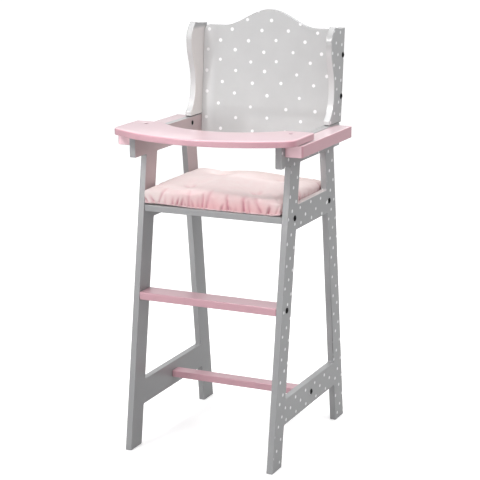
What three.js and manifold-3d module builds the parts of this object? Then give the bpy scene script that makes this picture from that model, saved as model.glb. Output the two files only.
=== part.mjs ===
// A doll high chair made of flat painted boards, in millimetres, with +Z up and its front towards -Y.
// Two side frames carry a seat board, a footrest, a lower rung and a reclined back with two wings.
// Armrests are screwed to the outside of the side frames, a tray lies across them, and a loose
// tufted cushion lies on the seat. The origin is on the floor, under the middle of the whole chair.

import * as THREE from 'three';
import { mergeVertices } from 'three/addons/utils/BufferGeometryUtils.js';
import Module from 'manifold-3d';

const wasm = await Module();
wasm.setup();

// Driving dimensions: the boards and the clear width between the two side frames
const boardThickness = 10;
const seatWidth = 226;

// Driving dimensions: side frame, seen from the side, with distances measured from its middle line
const railTopHeight = 485;
const railDepth = 35;
const railFrontReach = 111;
const railRearReach = 115;
const legWidth = 34;
const frontFootReach = 143.5;
const frontLegTopReach = 75.5;
const rearFootReach = 144.5;
const rearLegTopReach = 91;
const seatRailHeight = 351;
const seatRailDepth = 37;
const stretcherHeight = 62;
const stretcherDepth = 39;
const windowCornerRadius = 2.5;
const outerCornerRadius = 1.5;

// Driving dimensions: seat board, footrest and lower rung
const seatFrontReach = 86;
const seatRearReach = 98;
const seatBoltFrontInset = 24;
const seatBoltRearInset = 24;
const footrestHeight = 237;
const footrestDepth = 34;
const footrestThickness = 12;
const rungHeight = 82;
const rungSetback = 5;
const rungDepth = 20;
const rungThickness = 11;

// Driving dimensions: back, measured up its own slope from the height of the rail tops
const reclineAngle = THREE.MathUtils.degToRad(5.43);
const backSetback = 111;
const backShoulderRise = 143;
const backCrestRise = 27;
const backCrestHalfWidth = 79;
const backCornerRadius = 11;
const wingBoltRises = { lower: 41, upper: 104.5 };

// Driving dimensions: wings, with heights measured from the rail tops
const wingFootGap = 0.6;
const wingFootSetback = 73;
const wingToeHeight = 8;
const wingWaistHeight = 56;
const wingWaistSetback = 91.5;
const wingEarHeight = 121;
const wingEarSetback = 78.5;
const wingTopHeight = 148.5;
const wingTopSetback = 94;
const wingTopFall = 3.5;
const wingTopSag = 1;
const wingCoveShare = 0.3;
const wingCurveShare = 0.4;
const wingShoulderShare = 0.5;

// Driving dimensions: armrests
const armrestPastTray = 4;
const armrestThickness = 18;
const armrestDrop = 1;
const armrestFrontReach = 99;
const armrestRearReach = 97;
const armrestCornerRadius = 5;
const armrestRearCornerRadius = 1.5;

// Driving dimensions: tray
const trayThickness = 10;
const trayHalfWidth = 146;
const trayFrontReach = 167;
const trayBowRadius = 245;
const trayBowHalfWidth = 131;
const traySideFrontReach = 107;
const trayBackReach = 43;
const trayCornerRadius = 4;
const bibRadius = 130;
const bibDepth = 48;
const bibCornerRadius = 7;
const trayCornerPullShare = 0.92;
const trayScrewReach = 66;

// Driving dimensions: cushion
const cushionSideClearance = 0.8;
const cushionFrontReach = 85;
const cushionRearReach = 97;
const cushionRestGap = 0.3;
const cushionFoot = 1.8;
const cushionSide = 22;
const cushionCrown = 12;
const cushionBulge = 2.2;
const cushionCornerShare = 0.035;
const tuftDepth = 10;
const tuftRadius = 17;
const tuftAcross = 55;
const tuftAlong = 50;

// Driving dimensions: bolts with hexagon sockets and their barrel nuts
const boltRadius = 2.5;
const boltHeadRadius = 4.4;
const boltHeadHeight = 1.4;
const boltHeadRim = 0.4;
const socketRadius = 1.9;
const socketDepth = 1.2;
const boltLength = 40;
const nutRadius = 5;
const nutLength = 8.2;
const nutInset = 25;
const nutSlotWidth = 1.4;
const nutSlotDepth = 1;

// Driving dimensions: wood screws and dowels
const screwRadius = 1.8;
const screwTipRadius = 0.4;
const screwTipLength = 4;
const screwHeadRadius = 3.6;
const screwHeadDepth = 2.2;
const screwSink = 0.4;
const crossWidth = 1;
const crossReach = 2.2;
const crossDepth = 1;
const armrestScrewLength = 25;
const armrestScrewInset = 18;
const trayScrewLength = 32;
const dowelRadius = 2.5;
const dowelLength = 20;
const dowelSetbacks = { front: 92, rear: 107 };

// Clearances and the overrun that lets a cutter pass a face
const fit = 0.3;
const overrun = 1;

// Facets
const roundSides = 16;
const boreSides = 16;
const curveSteps = 10;
const cornerSteps = 3;
const cushionSteps = { across: 22, along: 18, up: 4 };

// Places worked out from the driving dimensions
const halfInside = seatWidth / 2;
const halfOutside = halfInside + boardThickness;
const railBottom = railTopHeight - railDepth;
const seatTop = seatRailHeight + seatRailDepth / 2 + boardThickness / 2;
const seatMiddle = seatTop - boardThickness / 2;
const armrestWidth = trayHalfWidth + armrestPastTray - halfOutside;
const armrestTop = railTopHeight - armrestDrop;
const armrestMiddle = armrestTop - armrestThickness / 2;
const boardMiddle = halfInside + boardThickness / 2;
const originSetback = (rearFootReach - trayFrontReach) / 2;

const paint = (color, roughness) => new THREE.MeshStandardMaterial({ color, roughness, metalness: 0 });
const metal = (color, roughness) => new THREE.MeshStandardMaterial({ color, roughness, metalness: 1 });
const greyPaint = paint('#a3a6a8', 0.45);
const paleGreyPaint = paint('#d3d4d4', 0.45);
const pinkPaint = paint('#e6bcc4', 0.42);
const cushionFabric = paint('#f0c6ca', 0.95);
const blackMetal = metal('#1b1b1d', 0.45);
const zincMetal = metal('#b9bbbd', 0.35);
const dowelWood = paint('#cfae82', 0.75);

const chair = new THREE.Group();
const assembly = new THREE.Group();
assembly.position.y = -originSetback;
chair.add(assembly);

function addPiece(name, geometry, material, parent = assembly) {
  const mesh = new THREE.Mesh(geometry, material);
  mesh.name = name;
  parent.add(mesh);
  return mesh;
}

// Turns a closed geometry into a solid that can be cut and joined
function solidOf(geometry) {
  const bare = geometry.clone();
  bare.deleteAttribute('normal');
  bare.deleteAttribute('uv');
  const merged = mergeVertices(bare);
  return new wasm.Manifold(new wasm.Mesh({
    numProp: 3,
    vertProperties: new Float32Array(merged.attributes.position.array),
    triVerts: new Uint32Array(merged.index.array),
  }));
}

function geometryOf(solid) {
  const mesh = solid.getMesh();
  const geometry = new THREE.BufferGeometry();
  geometry.setAttribute('position', new THREE.BufferAttribute(new Float32Array(mesh.vertProperties), 3));
  geometry.setIndex(new THREE.BufferAttribute(new Uint32Array(mesh.triVerts), 1));
  geometry.computeVertexNormals();
  return geometry;
}

function cut(geometry, cutters) {
  let solid = solidOf(geometry);
  for (const cutter of cutters) {
    solid = solid.subtract(solidOf(cutter));
  }
  return geometryOf(solid);
}

// Draws a closed outline through corner points, each sharp or with its own rounding radius
function roundedOutline(corners, path = new THREE.Shape()) {
  corners.forEach(({ at, radius = 0 }, i) => {
    const before = corners[(i + corners.length - 1) % corners.length].at;
    const after = corners[(i + 1) % corners.length].at;
    const back = new THREE.Vector2(...before).sub(new THREE.Vector2(...at)).normalize();
    const ahead = new THREE.Vector2(...after).sub(new THREE.Vector2(...at)).normalize();
    const setback = radius / Math.tan(back.angleTo(ahead) / 2);
    const start = new THREE.Vector2(...at).addScaledVector(back, setback);
    const end = new THREE.Vector2(...at).addScaledVector(ahead, setback);
    if (i === 0) path.moveTo(start.x, start.y);
    else path.lineTo(start.x, start.y);
    if (radius > 0) path.quadraticCurveTo(at[0], at[1], end.x, end.y);
  });
  path.closePath();
  return path;
}

// Extrudes an outline drawn in (y, z) along +X, starting at x
function boardAlongX(shape, x, thickness, curveSegments) {
  const geometry = new THREE.ExtrudeGeometry(shape, { depth: thickness, bevelEnabled: false, curveSegments });
  const turn = new THREE.Matrix4().makeBasis(
    new THREE.Vector3(0, 1, 0), new THREE.Vector3(0, 0, 1), new THREE.Vector3(1, 0, 0));
  return geometry.applyMatrix4(turn).translate(x, 0, 0);
}

// Extrudes an outline drawn in (x, y) upwards from z
function boardAlongZ(shape, z, thickness, curveSegments) {
  const geometry = new THREE.ExtrudeGeometry(shape, { depth: thickness, bevelEnabled: false, curveSegments });
  return geometry.translate(0, 0, z);
}

function boxBetween(low, high) {
  const size = high.map((value, i) => value - low[i]);
  const middle = high.map((value, i) => (value + low[i]) / 2);
  return new THREE.BoxGeometry(...size).translate(...middle);
}

// A round cutter or pin whose axis runs along X, Y or Z between two places on it
function rodAlong(axis, radius, from, to, at, sides = boreSides) {
  const rod = new THREE.CylinderGeometry(radius, radius, to - from, sides);
  const middle = (from + to) / 2;
  if (axis === 'x') return rod.rotateZ(-Math.PI / 2).translate(middle, at[0], at[1]);
  if (axis === 'y') return rod.translate(at[0], middle, at[1]);
  return rod.rotateX(Math.PI / 2).translate(at[0], at[1], middle);
}

// The hole for a countersunk screw that points along -Z, with the flat of the screw's head at z = 0
function screwHole(length) {
  const hole = rodAlong('z', screwRadius + fit, -length, overrun, [0, 0]);
  const headRadius = screwHeadRadius + fit;
  const profile = [
    new THREE.Vector2(0, -screwHeadDepth - fit),
    new THREE.Vector2(screwRadius, -screwHeadDepth - fit),
    new THREE.Vector2(headRadius, 0),
    new THREE.Vector2(headRadius, screwSink + overrun),
    new THREE.Vector2(0, screwSink + overrun),
  ];
  return [hole, new THREE.LatheGeometry(profile, boreSides).rotateX(Math.PI / 2)];
}

// Side frame: the places of its edges at a height, front or back, inner or outer
function alongEdge(footReach, topReach, height) {
  return THREE.MathUtils.lerp(footReach, topReach, height / railBottom);
}

function frontLegFront(height) {
  return -alongEdge(frontFootReach, frontLegTopReach, height);
}

function frontLegRear(height) {
  return frontLegFront(height) + legWidth;
}

function rearLegRear(height) {
  return alongEdge(rearFootReach, rearLegTopReach, height);
}

function rearLegFront(height) {
  return rearLegRear(height) - legWidth;
}

function windowBetween(low, high) {
  const radius = windowCornerRadius;
  return roundedOutline([
    { at: [frontLegRear(low), low], radius },
    { at: [rearLegFront(low), low], radius },
    { at: [rearLegFront(high), high], radius },
    { at: [frontLegRear(high), high], radius },
  ], new THREE.Path());
}

function sideFrameOutline() {
  const radius = outerCornerRadius;
  const inner = windowCornerRadius;
  const outline = roundedOutline([
    { at: [frontLegFront(0), 0] },
    { at: [frontLegRear(0), 0] },
    { at: [frontLegRear(stretcherHeight), stretcherHeight], radius: inner },
    { at: [rearLegFront(stretcherHeight), stretcherHeight], radius: inner },
    { at: [rearLegFront(0), 0] },
    { at: [rearLegRear(0), 0] },
    { at: [rearLegTopReach, railBottom], radius: inner },
    { at: [railRearReach, railBottom], radius },
    { at: [railRearReach, railTopHeight], radius },
    { at: [-railFrontReach, railTopHeight], radius },
    { at: [-railFrontReach, railBottom], radius },
    { at: [-frontLegTopReach, railBottom], radius: inner },
  ]);
  outline.holes.push(windowBetween(stretcherHeight + stretcherDepth, seatRailHeight));
  outline.holes.push(windowBetween(seatRailHeight + seatRailDepth, railBottom));
  return outline;
}

// Back: a point at a depth behind its front face and a rise up its slope, as [y, z]
function onBack(depth, rise) {
  const sine = Math.sin(reclineAngle);
  const cosine = Math.cos(reclineAngle);
  return [
    backSetback + depth * cosine + rise * sine,
    railTopHeight - depth * sine + rise * cosine,
  ];
}

function backRearAt(height) {
  const [setback, base] = onBack(boardThickness, 0);
  return setback + (height - base) * Math.tan(reclineAngle);
}

// Places of the bolts that hold the cross pieces, as [y, z], with the way each barrel nut is put in
const seatBoltSetbacks = {
  front: -seatFrontReach + seatBoltFrontInset,
  rear: seatRearReach - seatBoltRearInset,
};
const footrestSetback = (frontLegFront(footrestHeight) + frontLegRear(footrestHeight)) / 2;
const boltPlaces = [
  { name: 'seat_front', at: [seatBoltSetbacks.front, seatMiddle] },
  { name: 'seat_rear', at: [seatBoltSetbacks.rear, seatMiddle] },
  { name: 'footrest', at: [footrestSetback, footrestHeight] },
  { name: 'rung', at: [rungSetback, rungHeight] },
];
const wingBoltPlaces = Object.entries(wingBoltRises).map(([level, rise]) => (
  { name: `wing_${level}`, at: onBack(boardThickness / 2, rise), rise }));
const armrestScrewSetbacks = {
  front: -armrestFrontReach + armrestScrewInset,
  rear: armrestRearReach - armrestScrewInset,
};

function boltBore(side, at, depth) {
  const outside = side * (halfOutside + overrun);
  const inside = side * (halfOutside - depth);
  return rodAlong('x', boltRadius + fit, Math.min(outside, inside), Math.max(outside, inside), at);
}

// The hole for a barrel nut, drilled up from the underside of a flat cross piece
function nutHoleFromBelow(side, setback, underside) {
  const place = [side * (halfInside - nutInset), setback];
  return rodAlong('z', nutRadius + fit, underside - overrun, underside + nutLength + fit, place);
}

function sideFrame(side) {
  const inner = side > 0 ? halfInside : -halfOutside;
  const board = boardAlongX(sideFrameOutline(), inner, boardThickness, cornerSteps);
  const through = [inner - overrun, inner + boardThickness + overrun];
  const cutters = boltPlaces.map(({ at }) => rodAlong('x', boltRadius + fit, ...through, at));
  for (const setback of Object.values(armrestScrewSetbacks)) {
    for (const hole of screwHole(boardThickness + overrun)) {
      cutters.push(hole.rotateY(-side * Math.PI / 2)
        .translate(side * (halfInside + screwSink), setback, armrestMiddle));
    }
  }
  for (const setback of Object.values(dowelSetbacks)) {
    const foot = railTopHeight + (wingFootGap - dowelLength) / 2 - fit;
    cutters.push(rodAlong('z', dowelRadius + fit, foot, railTopHeight + overrun, [side * boardMiddle, setback]));
  }
  const screwFoot = railTopHeight + trayThickness - screwSink - trayScrewLength - fit;
  cutters.push(rodAlong('z', screwRadius + fit, screwFoot, railTopHeight + overrun,
    [side * boardMiddle, -trayScrewReach]));
  return cut(board, cutters);
}

function armrest(side) {
  const inside = side * halfOutside;
  const outside = side * (halfOutside + armrestWidth);
  const outline = roundedOutline([
    { at: [inside, -armrestFrontReach], radius: armrestRearCornerRadius },
    { at: [outside, -armrestFrontReach], radius: armrestCornerRadius },
    { at: [outside, armrestRearReach], radius: armrestRearCornerRadius },
    { at: [inside, armrestRearReach], radius: armrestRearCornerRadius },
  ]);
  const board = boardAlongZ(outline, armrestTop - armrestThickness, armrestThickness, curveSteps);
  const start = side * (halfOutside - overrun);
  const end = side * (halfInside + screwSink + armrestScrewLength + fit);
  const cutters = Object.values(armrestScrewSetbacks).map((setback) => (
    rodAlong('x', screwRadius + fit, Math.min(start, end), Math.max(start, end), [setback, armrestMiddle])));
  return cut(board, cutters);
}

// The tray's outline: a bowed front, straight sides and a round cut-out for the doll's body at the back
function trayOutline() {
  const bowMiddle = -trayFrontReach + trayBowRadius;
  const bowAngle = Math.asin(trayBowHalfWidth / trayBowRadius);
  const bowEnd = bowMiddle - trayBowRadius * Math.cos(bowAngle);
  const bibMiddle = -trayBackReach - bibDepth + bibRadius;
  const bibHalfWidth = Math.sqrt(bibRadius ** 2 - (bibMiddle + trayBackReach) ** 2);
  const bibAngle = Math.asin((bibHalfWidth - bibCornerRadius) / bibRadius);
  const bibEnd = bibMiddle - bibRadius * Math.cos(bibAngle);
  const cornerPull = trayHalfWidth * (1 - trayCornerPullShare) / 2;
  const outline = new THREE.Shape();
  outline.absarc(0, bowMiddle, trayBowRadius, -Math.PI / 2 - bowAngle, -Math.PI / 2 + bowAngle, false);
  outline.quadraticCurveTo(trayHalfWidth, bowEnd + cornerPull, trayHalfWidth, -traySideFrontReach);
  outline.lineTo(trayHalfWidth, -trayBackReach - trayCornerRadius);
  outline.quadraticCurveTo(trayHalfWidth, -trayBackReach, trayHalfWidth - trayCornerRadius, -trayBackReach);
  outline.lineTo(bibHalfWidth + bibCornerRadius, -trayBackReach);
  outline.quadraticCurveTo(bibHalfWidth, -trayBackReach, bibRadius * Math.sin(bibAngle), bibEnd);
  outline.absarc(0, bibMiddle, bibRadius, -Math.PI / 2 + bibAngle, -Math.PI / 2 - bibAngle, true);
  outline.quadraticCurveTo(-bibHalfWidth, -trayBackReach, -bibHalfWidth - bibCornerRadius, -trayBackReach);
  outline.lineTo(-trayHalfWidth + trayCornerRadius, -trayBackReach);
  outline.quadraticCurveTo(-trayHalfWidth, -trayBackReach, -trayHalfWidth, -trayBackReach - trayCornerRadius);
  outline.lineTo(-trayHalfWidth, -traySideFrontReach);
  outline.quadraticCurveTo(-trayHalfWidth, bowEnd + cornerPull, -trayBowHalfWidth, bowEnd);
  return outline;
}

function tray() {
  const board = boardAlongZ(trayOutline(), railTopHeight, trayThickness, curveSteps + cornerSteps);
  const top = railTopHeight + trayThickness;
  const cutters = [];
  for (const side of [-1, 1]) {
    for (const hole of screwHole(trayThickness + overrun)) {
      cutters.push(hole.translate(side * boardMiddle, -trayScrewReach, top - screwSink));
    }
  }
  return cut(board, cutters);
}

// The back's outline, in (x, rise): straight sides, round shoulders and a bell-shaped crest
function backOutline() {
  const foot = -railDepth / Math.cos(reclineAngle);
  const shoulder = backShoulderRise;
  const radius = backCornerRadius;
  const outline = new THREE.Shape();
  outline.moveTo(-halfInside, foot);
  outline.lineTo(halfInside, foot);
  outline.lineTo(halfInside, shoulder - radius);
  outline.quadraticCurveTo(halfInside, shoulder, halfInside - radius, shoulder);
  const steps = curveSteps * 3;
  for (let i = 0; i <= steps; i += 1) {
    const across = THREE.MathUtils.lerp(backCrestHalfWidth, -backCrestHalfWidth, i / steps);
    const bell = (1 + Math.cos(Math.PI * across / backCrestHalfWidth)) / 2;
    outline.lineTo(across, shoulder + backCrestRise * bell);
  }
  outline.lineTo(-halfInside + radius, shoulder);
  outline.quadraticCurveTo(-halfInside, shoulder, -halfInside, shoulder - radius);
  outline.closePath();
  return outline;
}

// The back is drawn upright with its front face at y = 0, and leans back with the group that holds it
function back() {
  const board = new THREE.ExtrudeGeometry(backOutline(),
    { depth: boardThickness, bevelEnabled: false, curveSegments: cornerSteps });
  board.rotateX(Math.PI / 2).translate(0, boardThickness, 0);
  const cutters = [];
  for (const side of [-1, 1]) {
    for (const rise of Object.values(wingBoltRises)) {
      const ends = [side * (halfInside + overrun), side * (halfOutside - boltLength - fit)];
      cutters.push(rodAlong('x', boltRadius + fit, Math.min(...ends), Math.max(...ends),
        [boardThickness / 2, rise]));
      cutters.push(rodAlong('y', nutRadius + fit, boardThickness - nutLength - fit, boardThickness + overrun,
        [side * (halfInside - nutInset), rise]));
    }
  }
  return cut(board, cutters);
}

// The wing's outline in (y, z): a toe, a cove, a waist, a forward ear and a slightly hollow top
function wingOutline() {
  const foot = railTopHeight + wingFootGap;
  const toe = railTopHeight + wingToeHeight;
  const waist = railTopHeight + wingWaistHeight;
  const ear = railTopHeight + wingEarHeight;
  const top = railTopHeight + wingTopHeight;
  const rearTop = top - wingTopFall;
  const curve = (ear - waist) * wingCurveShare;
  const outline = new THREE.Shape();
  outline.moveTo(wingFootSetback, foot);
  outline.lineTo(backRearAt(foot), foot);
  outline.lineTo(backRearAt(rearTop), rearTop);
  outline.quadraticCurveTo((backRearAt(rearTop) + wingTopSetback) / 2, rearTop - wingTopSag, wingTopSetback, top);
  outline.quadraticCurveTo(wingEarSetback, ear + (top - ear) * wingShoulderShare, wingEarSetback, ear);
  outline.bezierCurveTo(wingEarSetback, ear - curve, wingWaistSetback, waist + curve, wingWaistSetback, waist);
  outline.quadraticCurveTo(wingWaistSetback, toe + (waist - toe) * wingCoveShare, wingFootSetback, toe);
  outline.closePath();
  return outline;
}

function wing(side) {
  const inner = side > 0 ? halfInside : -halfOutside;
  const board = boardAlongX(wingOutline(), inner, boardThickness, curveSteps);
  const cutters = wingBoltPlaces.map(({ at }) => (
    rodAlong('x', boltRadius + fit, inner - overrun, inner + boardThickness + overrun, at)));
  for (const setback of Object.values(dowelSetbacks)) {
    const tip = railTopHeight + (wingFootGap + dowelLength) / 2 + fit;
    cutters.push(rodAlong('z', dowelRadius + fit, railTopHeight - overrun, tip, [side * boardMiddle, setback]));
  }
  return cut(board, cutters);
}

// A flat cross piece between the side frames, bored at both ends for its bolts and barrel nuts
function crossPiece(front, rear, bottom, thickness, boltSetbacks) {
  const board = boxBetween([-halfInside, front, bottom], [halfInside, rear, bottom + thickness]);
  const cutters = [];
  for (const side of [-1, 1]) {
    for (const setback of boltSetbacks) {
      cutters.push(boltBore(side, [setback, bottom + thickness / 2], boltLength + fit));
      cutters.push(nutHoleFromBelow(side, setback, bottom));
    }
  }
  return cut(board, cutters);
}

function seatBoard() {
  return crossPiece(-seatFrontReach, seatRearReach, seatTop - boardThickness, boardThickness,
    Object.values(seatBoltSetbacks));
}

function footrest() {
  return crossPiece(footrestSetback - footrestDepth / 2, footrestSetback + footrestDepth / 2,
    footrestHeight - footrestThickness / 2, footrestThickness, [footrestSetback]);
}

function lowerRung() {
  return crossPiece(rungSetback - rungDepth / 2, rungSetback + rungDepth / 2,
    rungHeight - rungThickness / 2, rungThickness, [rungSetback]);
}

// A bolt along +X with its head's underside at x = 0, a low domed head and a hexagon socket
function bolt() {
  const profile = [
    new THREE.Vector2(0, -boltLength),
    new THREE.Vector2(boltRadius, -boltLength),
    new THREE.Vector2(boltRadius, 0),
    new THREE.Vector2(boltHeadRadius, 0),
    new THREE.Vector2(boltHeadRadius, boltHeadRim),
  ];
  for (let i = 1; i <= cornerSteps; i += 1) {
    const turn = (i / cornerSteps) * Math.PI / 3;
    const rise = (boltHeadHeight - boltHeadRim) * Math.sin(turn) / Math.sin(Math.PI / 3);
    profile.push(new THREE.Vector2(boltHeadRadius * Math.cos(turn), boltHeadRim + rise));
  }
  profile.push(new THREE.Vector2(0, boltHeadHeight));
  const body = new THREE.LatheGeometry(profile, roundSides).rotateZ(-Math.PI / 2);
  const socket = rodAlong('x', socketRadius, boltHeadHeight - socketDepth, boltHeadHeight + overrun, [0, 0], 6);
  return cut(body, [socket]);
}

// A barrel nut along +Z with its slotted end at z = 0, bored across for the bolt
function barrelNut(boltDepth) {
  const barrel = rodAlong('z', nutRadius, 0, nutLength, [0, 0], roundSides);
  const bore = rodAlong('x', boltRadius + fit, -nutRadius - overrun, nutRadius + overrun, [0, boltDepth]);
  const slot = boxBetween([-nutSlotWidth / 2, -nutRadius - overrun, -overrun],
    [nutSlotWidth / 2, nutRadius + overrun, nutSlotDepth]);
  return cut(barrel, [bore, slot]);
}

// A countersunk wood screw along -Z with the flat of its head at z = 0 and a cross recess
function woodScrew(length) {
  const profile = [
    new THREE.Vector2(0, -length),
    new THREE.Vector2(screwTipRadius, -length),
    new THREE.Vector2(screwRadius, -length + screwTipLength),
    new THREE.Vector2(screwRadius, -screwHeadDepth),
    new THREE.Vector2(screwHeadRadius, 0),
    new THREE.Vector2(0, 0),
  ];
  const body = new THREE.LatheGeometry(profile, roundSides).rotateX(Math.PI / 2);
  const half = crossWidth / 2;
  const slots = [
    boxBetween([-half, -crossReach, -crossDepth], [half, crossReach, overrun]),
    boxBetween([-crossReach, -half, -crossDepth], [crossReach, half, overrun]),
  ];
  return cut(body, slots);
}

// The loose cushion: a crowned top with sewn tufts, bulging sides that draw in to a seam, and a flat foot
function cushion() {
  const { across, along, up } = cushionSteps;
  const halfAcross = halfInside - cushionSideClearance;
  const halfAlong = (cushionRearReach + cushionFrontReach) / 2;
  const middle = (cushionRearReach - cushionFrontReach) / 2;
  const base = seatTop + cushionRestGap;
  const place = (u, v, inset) => [
    (halfAcross - inset) * u * (1 - cushionCornerShare * v * v),
    middle + (halfAlong - inset) * v * (1 - cushionCornerShare * u * u),
  ];
  const crownAt = (u, v, x, y) => {
    let height = cushionCrown * Math.sqrt((1 - u ** 4) * (1 - v ** 4));
    for (const sx of [-1, 1]) {
      for (const sy of [-1, 1]) {
        const away = Math.hypot(x - sx * tuftAcross, y - middle - sy * tuftAlong) / tuftRadius;
        height -= tuftDepth * Math.exp(-away * away);
      }
    }
    return height;
  };
  const points = [];
  const faces = [];
  const top = [];
  for (let j = 0; j <= along; j += 1) {
    for (let i = 0; i <= across; i += 1) {
      const u = -1 + 2 * i / across;
      const v = -1 + 2 * j / along;
      const [x, y] = place(u, v, cushionBulge);
      const edge = i === 0 || j === 0 || i === across || j === along;
      top.push(points.length / 3);
      points.push(x, y, base + cushionFoot + cushionSide + (edge ? 0 : crownAt(u, v, x, y)));
    }
  }
  const row = across + 1;
  for (let j = 0; j < along; j += 1) {
    for (let i = 0; i < across; i += 1) {
      const k = j * row + i;
      faces.push(k, k + 1, k + row + 1, k, k + row + 1, k + row);
    }
  }
  const rim = [];
  for (let i = 0; i < across; i += 1) rim.push([i, 0]);
  for (let j = 0; j < along; j += 1) rim.push([across, j]);
  for (let i = across; i > 0; i -= 1) rim.push([i, along]);
  for (let j = along; j > 0; j -= 1) rim.push([0, j]);
  let above = rim.map(([i, j]) => top[j * row + i]);
  for (let level = up; level >= 0; level -= 1) {
    const isFoot = level === 0;
    const share = isFoot ? 0 : (level - 1) / up;
    const inset = isFoot ? cushionBulge + cushionFoot : cushionBulge * (1 - Math.sin(Math.PI * share));
    const height = isFoot ? 0 : cushionFoot + cushionSide * share;
    const ring = rim.map(([i, j]) => {
      const [x, y] = place(-1 + 2 * i / across, -1 + 2 * j / along, inset);
      points.push(x, y, base + height);
      return points.length / 3 - 1;
    });
    ring.forEach((low, k) => {
      const next = (k + 1) % ring.length;
      faces.push(low, ring[next], above[next], low, above[next], above[k]);
    });
    above = ring;
  }
  const foot = above.map((k) => new THREE.Vector2(points[3 * k], points[3 * k + 1]));
  for (const [a, b, c] of THREE.ShapeUtils.triangulateShape(foot, [])) {
    faces.push(above[a], above[c], above[b]);
  }
  const geometry = new THREE.BufferGeometry();
  geometry.setAttribute('position', new THREE.Float32BufferAttribute(points, 3));
  geometry.setIndex(faces);
  geometry.computeVertexNormals();
  return geometry;
}

// Puts a bolt through a side at [y, z], head outside
function addBolt(name, side, at) {
  const piece = addPiece(name, bolt(), blackMetal);
  piece.position.set(side * halfOutside, at[0], at[1]);
  piece.rotation.z = side > 0 ? 0 : Math.PI;
}

function addNutBelow(name, side, setback, underside, middleHeight) {
  const piece = addPiece(name, barrelNut(middleHeight - underside), zincMetal);
  piece.position.set(side * (halfInside - nutInset), setback, underside);
}

function addSide(side, word) {
  addPiece(`side_frame_${word}`, sideFrame(side), greyPaint);
  addPiece(`armrest_${word}`, armrest(side), pinkPaint);
  addPiece(`wing_${word}`, wing(side), greyPaint);
  for (const { name, at } of [...boltPlaces, ...wingBoltPlaces]) {
    addBolt(`${name}_bolt_${word}`, side, at);
  }
  addNutBelow(`seat_front_barrel_nut_${word}`, side, seatBoltSetbacks.front, seatTop - boardThickness, seatMiddle);
  addNutBelow(`seat_rear_barrel_nut_${word}`, side, seatBoltSetbacks.rear, seatTop - boardThickness, seatMiddle);
  addNutBelow(`footrest_barrel_nut_${word}`, side, footrestSetback,
    footrestHeight - footrestThickness / 2, footrestHeight);
  addNutBelow(`rung_barrel_nut_${word}`, side, rungSetback, rungHeight - rungThickness / 2, rungHeight);
  for (const { name, rise } of wingBoltPlaces) {
    const nut = addPiece(`${name}_barrel_nut_${word}`, barrelNut(boardThickness / 2), zincMetal, leaningBack);
    nut.position.set(side * (halfInside - nutInset), boardThickness, rise);
    nut.rotation.x = Math.PI / 2;
  }
  for (const [end, setback] of Object.entries(armrestScrewSetbacks)) {
    const screw = addPiece(`armrest_${end}_screw_${word}`, woodScrew(armrestScrewLength), blackMetal);
    screw.position.set(side * (halfInside + screwSink), setback, armrestMiddle);
    screw.rotation.y = -side * Math.PI / 2;
  }
  const trayScrew = addPiece(`tray_screw_${word}`, woodScrew(trayScrewLength), blackMetal);
  trayScrew.position.set(side * boardMiddle, -trayScrewReach, railTopHeight + trayThickness - screwSink);
  for (const [end, setback] of Object.entries(dowelSetbacks)) {
    const middle = railTopHeight + wingFootGap / 2;
    const dowel = rodAlong('z', dowelRadius, middle - dowelLength / 2, middle + dowelLength / 2,
      [side * boardMiddle, setback], roundSides);
    addPiece(`wing_${end}_dowel_${word}`, dowel, dowelWood);
  }
}

const leaningBack = new THREE.Group();
leaningBack.position.set(0, backSetback, railTopHeight);
leaningBack.rotation.x = -reclineAngle;
assembly.add(leaningBack);

addPiece('backrest', back(), paleGreyPaint, leaningBack);
addPiece('seat_board', seatBoard(), greyPaint);
addPiece('footrest', footrest(), pinkPaint);
addPiece('lower_rung', lowerRung(), pinkPaint);
addPiece('tray', tray(), pinkPaint);
addPiece('seat_cushion', cushion(), cushionFabric);
addSide(-1, 'left');
addSide(1, 'right');

export default chair;
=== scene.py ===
"""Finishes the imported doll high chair: painted boards, printed dots, fasteners and a sewn cushion."""
import bpy
import bmesh
import math
import random
from mathutils import Matrix, Vector, noise


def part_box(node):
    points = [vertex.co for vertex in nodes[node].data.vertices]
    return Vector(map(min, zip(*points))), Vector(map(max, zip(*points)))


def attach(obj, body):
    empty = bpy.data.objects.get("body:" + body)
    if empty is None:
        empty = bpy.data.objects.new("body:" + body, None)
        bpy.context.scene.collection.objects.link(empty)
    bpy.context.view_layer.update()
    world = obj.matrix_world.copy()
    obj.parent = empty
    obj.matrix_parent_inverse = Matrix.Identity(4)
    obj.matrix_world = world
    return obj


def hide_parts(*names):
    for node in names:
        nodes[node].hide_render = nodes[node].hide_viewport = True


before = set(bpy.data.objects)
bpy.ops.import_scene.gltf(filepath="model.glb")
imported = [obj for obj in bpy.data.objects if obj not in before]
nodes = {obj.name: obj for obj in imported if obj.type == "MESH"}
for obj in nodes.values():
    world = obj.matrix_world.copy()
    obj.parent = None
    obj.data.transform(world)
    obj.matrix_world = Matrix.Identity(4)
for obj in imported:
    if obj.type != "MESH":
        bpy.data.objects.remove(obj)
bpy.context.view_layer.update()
sides = ("left", "right")


# Viewpoint
# A long lens stands to the right of the chair's front, a little above the tray, and looks down at it.
camera_place = Vector((0.96835, -2.05552, 0.86027))
camera_right = Vector((0.90767, 0.41967, -0.00438))
camera_up = Vector((-0.09059, 0.20610, 0.97433))
camera_back = camera_right.cross(camera_up)
camera_data = bpy.data.cameras.new("viewpoint")
camera_data.sensor_width = 36
camera_data.lens = 114.43
camera_data.shift_x = -0.0055
camera_data.shift_y = -0.0286
camera_data.clip_end = 100
camera = bpy.data.objects.new("viewpoint", camera_data)
bpy.context.collection.objects.link(camera)
turn = Matrix((camera_right, camera_up, camera_back)).transposed()
camera.matrix_world = Matrix.Translation(camera_place) @ turn.to_4x4()
bpy.context.scene.camera = camera


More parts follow.
